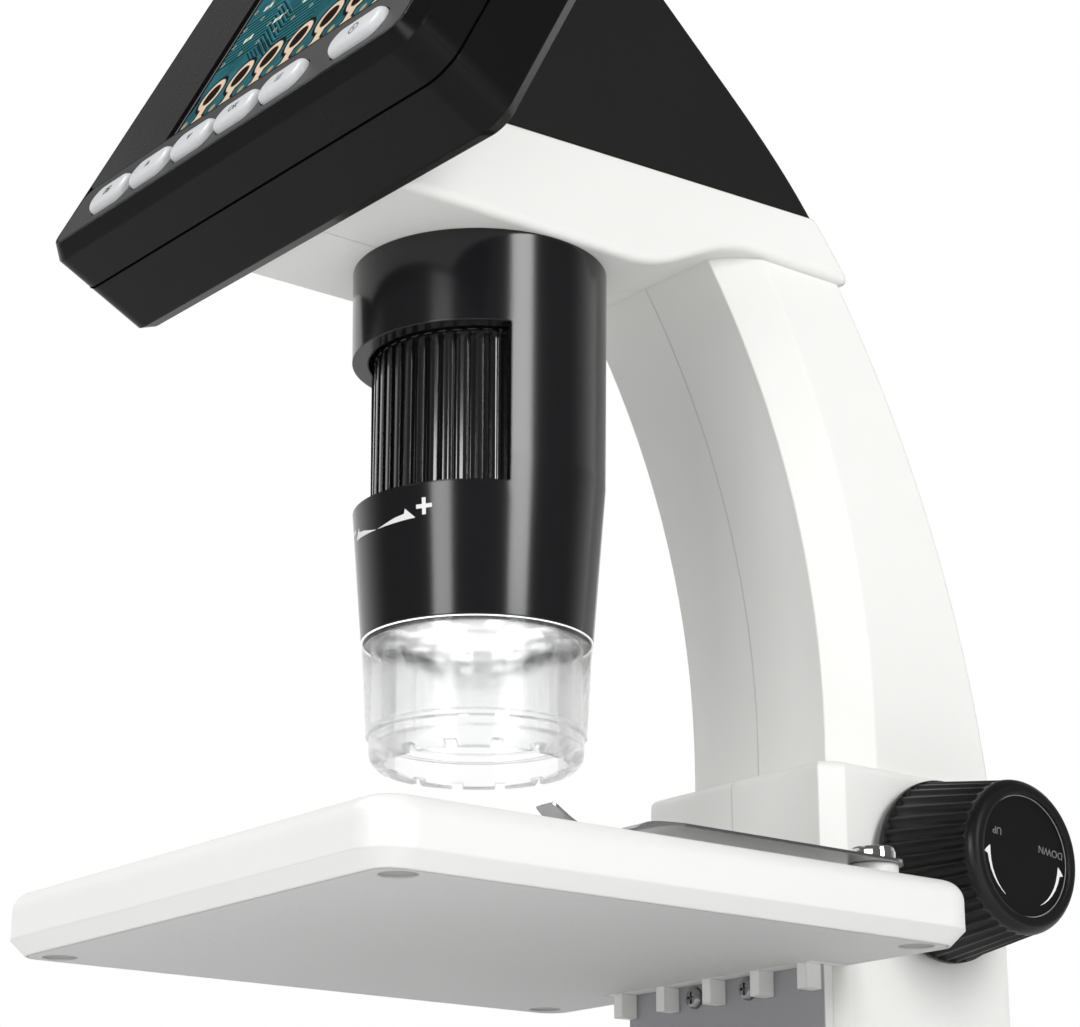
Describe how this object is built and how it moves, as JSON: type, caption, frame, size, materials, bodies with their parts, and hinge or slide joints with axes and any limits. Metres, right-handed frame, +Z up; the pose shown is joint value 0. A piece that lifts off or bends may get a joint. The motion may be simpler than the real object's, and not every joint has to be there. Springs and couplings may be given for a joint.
{
  "type": "lcd digital microscope",
  "caption": "Desktop digital microscope: tilted display and lens barrel on a curved arm, over a rack-lifted stage with spring clips and side focus knobs.",
  "frame": {"origin": "centre of the base's footprint, level with the surface the feet stand on", "axes": "+Z up, +Y to the back behind the column, +X to the right of a user who faces the screen from -Y"},
  "size_m": [0.104, 0.156, 0.2513],
  "materials": {
    "white_shell": "satin moulded, faint grain",
    "white_stage": "satin moulded",
    "white_base": "satin moulded",
    "grey_underside": "fine textured",
    "grey_plug": "satin",
    "black_matte": "satin black",
    "black_gloss": "semi-gloss black",
    "black_inner": "plain",
    "black_rubber": "matte",
    "strip_grey": "satin dark grey",
    "button_grey": "satin light grey",
    "screen_glass": "clear, dark tint",
    "screen_panel": "lit picture",
    "clear_nose": "clear moulded",
    "lens_glass": "clear, coated",
    "reflector_white": "white",
    "led_white": "clear dome",
    "circuit_green": "solder mask",
    "battery_wrap": "foil wrap",
    "steel": "zinc plated",
    "chrome_metal": "polished",
    "spring_steel": "polished",
    "brass_bush": "turned",
    "dark_metal": "black anodised",
    "knob_black": "satin black",
    "gear_white": "acetal"
  },
  "bodies": {
    "stand": {"base_shell": "white_base", "base_plate": "black_inner", "rubber_feet": "black_rubber", "base_screws": "steel", "column_screws": "steel", "stand_half_right": "white_shell", "stand_half_left": "white_shell", "stand_screws": "steel", "guide_rods": "steel", "shaft_bushes": "black_matte", "head_cover": "black_matte", "display_bezel": "black_gloss", "display_rear": "black_gloss", "display_screws": "steel", "head_screws": "steel", "face_panel": "strip_grey", "display_glass": "screen_glass", "lcd_panel": "screen_panel", "button_board": "circuit_green", "button_switches": "black_inner", "control_board": "circuit_green", "battery": "battery_wrap", "usb_socket": "steel", "card_socket": "steel", "barrel_sleeve": "black_gloss", "barrel_collar": "black_inner", "barrel_nut": "black_inner", "inner_tube": "dark_metal", "led_board": "circuit_green", "leds": "led_white", "led_reflector": "reflector_white", "nose_cap": "clear_nose", "sensor_board": "circuit_green", "image_sensor": "dark_metal"},
    "stage": {"stage_plate": "white_stage", "stage_cover": "grey_underside", "stage_plugs": "grey_plug", "stage_bracket": "white_stage", "bracket_screws": "chrome_metal", "lift_carriage": "gear_white", "lift_rack": "gear_white", "clip_screws": "chrome_metal"},
    "right_clip": {"clip_right": "spring_steel"},
    "left_clip": {"clip_left": "spring_steel"},
    "knob": {"focus_shaft": "steel", "pinion": "brass_bush", "knob_right": "knob_black", "knob_left": "knob_black", "knob_discs": "knob_black"},
    "wheel": {"focus_wheel": "black_gloss"},
    "lens": {"lens_carrier": "dark_metal", "objective_lens": "lens_glass"},
    "mode_key": {"mode_button": "button_grey"},
    "up_key": {"up_button": "button_grey"},
    "down_key": {"down_button": "button_grey"},
    "ok_key": {"ok_button": "button_grey"},
    "menu_key": {"menu_button": "button_grey"},
    "snap_key": {"snap_button": "button_grey"}
  },
  "joints": [
    {"name": "stage_lift", "type": "slide", "parent": "stand", "child": "stage", "axis": [0, 0, 1], "range_m": [-0.03, 0.01]},
    {"name": "knob_turn", "type": "hinge", "parent": "stand", "child": "knob", "pos_m": [0, 0.0545, 0.0868], "axis": [1, 0, 0], "range_deg": [-98, 290]},
    {"name": "focus_turn", "type": "hinge", "parent": "stand", "child": "wheel", "pos_m": [0, -0.02, 0.148], "axis": [0, 0, 1], "range_deg": [-122, 122]},
    {"name": "lens_slide", "type": "slide", "parent": "stand", "child": "lens", "axis": [0, 0, 1], "range_m": [-0.004, 0.004]},
    {"name": "clip_right_turn", "type": "hinge", "parent": "stage", "child": "right_clip", "pos_m": [0.0388, 0.0235, 0.0822], "axis": [0, 0, 1], "range_deg": [-30, 20]},
    {"name": "clip_left_turn", "type": "hinge", "parent": "stage", "child": "left_clip", "pos_m": [-0.0388, 0.0235, 0.0822], "axis": [0, 0, 1], "range_deg": [-20, 30]},
    {"name": "mode_press", "type": "slide", "parent": "stand", "child": "mode_key", "axis": [0, 0.887, -0.4617], "range_m": [0, 0.0006], "stiffness_N_per_m": 400, "springref_m": -0.0004},
    {"name": "up_press", "type": "slide", "parent": "stand", "child": "up_key", "axis": [0, 0.887, -0.4617], "range_m": [0, 0.0006], "stiffness_N_per_m": 400, "springref_m": -0.0004},
    {"name": "down_press", "type": "slide", "parent": "stand", "child": "down_key", "axis": [0, 0.887, -0.4617], "range_m": [0, 0.0006], "stiffness_N_per_m": 400, "springref_m": -0.0004},
    {"name": "ok_press", "type": "slide", "parent": "stand", "child": "ok_key", "axis": [0, 0.887, -0.4617], "range_m": [0, 0.0006], "stiffness_N_per_m": 400, "springref_m": -0.0004},
    {"name": "menu_press", "type": "slide", "parent": "stand", "child": "menu_key", "axis": [0, 0.887, -0.4617], "range_m": [0, 0.0006], "stiffness_N_per_m": 400, "springref_m": -0.0004},
    {"name": "snap_press", "type": "slide", "parent": "stand", "child": "snap_key", "axis": [0, 0.887, -0.4617], "range_m": [0, 0.0006], "stiffness_N_per_m": 400, "springref_m": -0.0004}
  ],
  "couplings": [
    {"joint": "knob_turn", "follows": "stage_lift", "rad_per_m": -166.67},
    {"joint": "focus_turn", "follows": "lens_slide", "rad_per_m": 523.6}
  ]
}
